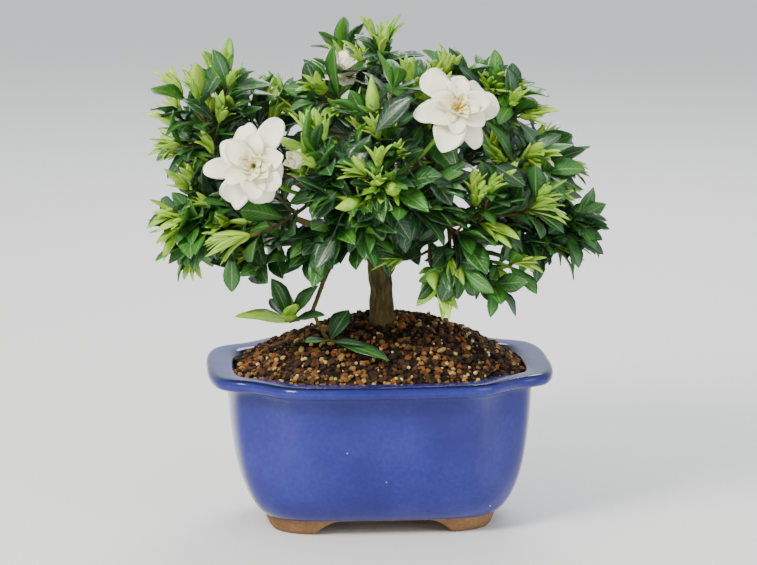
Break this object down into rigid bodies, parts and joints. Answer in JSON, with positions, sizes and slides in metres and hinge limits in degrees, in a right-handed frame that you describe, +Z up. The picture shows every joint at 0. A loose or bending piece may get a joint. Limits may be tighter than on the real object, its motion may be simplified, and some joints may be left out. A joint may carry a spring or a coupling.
{
  "type": "potted gardenia",
  "caption": "Small double-flowered gardenia shrub on a short trunk in a lobed, footed, blue-glazed bonsai pot filled with gritty potting mix.",
  "frame": {"origin": "on the standing surface under the middle of the pot, which is the middle of the bottom of the whole object's box", "axes": "+Z up, +X along the pot's long side, the flowers face -Y"},
  "size_m": [0.2673, 0.2103, 0.3],
  "materials": {
    "blue_glaze": "glossy periwinkle blue glaze over terracotta",
    "terracotta": "bare matte fired clay on the feet",
    "screen_plastic": "matte",
    "potting_mix": "dry bark, peat, clay grit and perlite",
    "bark": "rough olive-brown bark",
    "petal": "soft matte cream petal",
    "young_leaf": "satin light green young growth",
    "grown_leaf": "glossy dark green leaf"
  },
  "bodies": {
    "root": {"pot": "blue_glaze", "drain_screen_left": "screen_plastic", "drain_screen_right": "screen_plastic", "soil": "potting_mix", "trunk": "bark", "flower_left": "petal", "flower_right": "petal", "flower_top": "petal", "flower_bud_left": "petal", "low_spray": "grown_leaf", "low_sprout": "grown_leaf", "budding_shoot_01": "young_leaf", "budding_shoot_02": "young_leaf", "budding_shoot_03": "young_leaf", "budding_shoot_04": "young_leaf", "budding_shoot_05": "young_leaf", "budding_shoot_06": "young_leaf", "budding_shoot_07": "young_leaf", "budding_shoot_08": "young_leaf", "budding_shoot_09": "young_leaf", "budding_shoot_10": "young_leaf", "budding_shoot_11": "young_leaf", "budding_shoot_12": "young_leaf", "budding_shoot_13": "young_leaf", "budding_shoot_14": "young_leaf", "budding_shoot_15": "young_leaf", "budding_shoot_16": "young_leaf", "budding_shoot_17": "young_leaf", "budding_shoot_18": "young_leaf", "budding_shoot_19": "young_leaf", "budding_shoot_20": "young_leaf", "budding_shoot_21": "young_leaf", "budding_shoot_22": "young_leaf", "budding_shoot_23": "young_leaf", "budding_shoot_24": "young_leaf", "budding_shoot_25": "young_leaf", "budding_shoot_26": "young_leaf", "budding_shoot_27": "young_leaf", "budding_shoot_28": "young_leaf", "budding_shoot_29": "young_leaf", "budding_shoot_30": "young_leaf", "leafy_shoot_01": "grown_leaf", "leafy_shoot_02": "grown_leaf", "leafy_shoot_03": "grown_leaf", "leafy_shoot_04": "grown_leaf", "leafy_shoot_05": "grown_leaf", "leafy_shoot_06": "grown_leaf", "leafy_shoot_07": "grown_leaf", "leafy_shoot_08": "grown_leaf", "leafy_shoot_09": "grown_leaf", "leafy_shoot_10": "grown_leaf", "leafy_shoot_11": "grown_leaf", "leafy_shoot_12": "grown_leaf", "leafy_shoot_13": "grown_leaf", "leafy_shoot_14": "grown_leaf", "leafy_shoot_15": "grown_leaf", "leafy_shoot_16": "grown_leaf", "leafy_shoot_17": "grown_leaf"}
  },
  "joints": []
}
